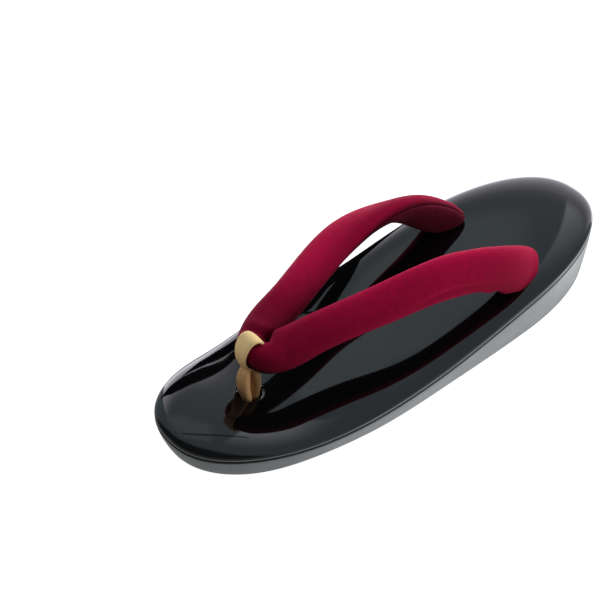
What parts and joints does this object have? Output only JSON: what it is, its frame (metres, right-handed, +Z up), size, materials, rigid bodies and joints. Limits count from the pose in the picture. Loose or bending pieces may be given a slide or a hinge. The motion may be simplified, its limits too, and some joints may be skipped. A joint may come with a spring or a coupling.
{
  "type": "zori sandal",
  "caption": "Low wedge zori sandal with a glossy black domed footbed, a satin sole wall, a padded crimson cloth V strap and a beige twisted toe thong.",
  "frame": {"origin": "on the floor, under the middle of the sole's box", "axes": "+Z up, toe towards -Y, heel towards +Y, +X to the side nearer the viewer in the picture"},
  "size_m": [0.0804, 0.24, 0.0528],
  "materials": {
    "sole": "satin grey with fine streaks along the wall",
    "footbed": "mirror-gloss black coat",
    "strap": "crimson twill over padding",
    "toe_thong": "beige ribbed cloth"
  },
  "bodies": {
    "root": {"sole": "sole", "footbed": "footbed", "strap": "strap", "toe_thong": "toe_thong"}
  },
  "joints": []
}
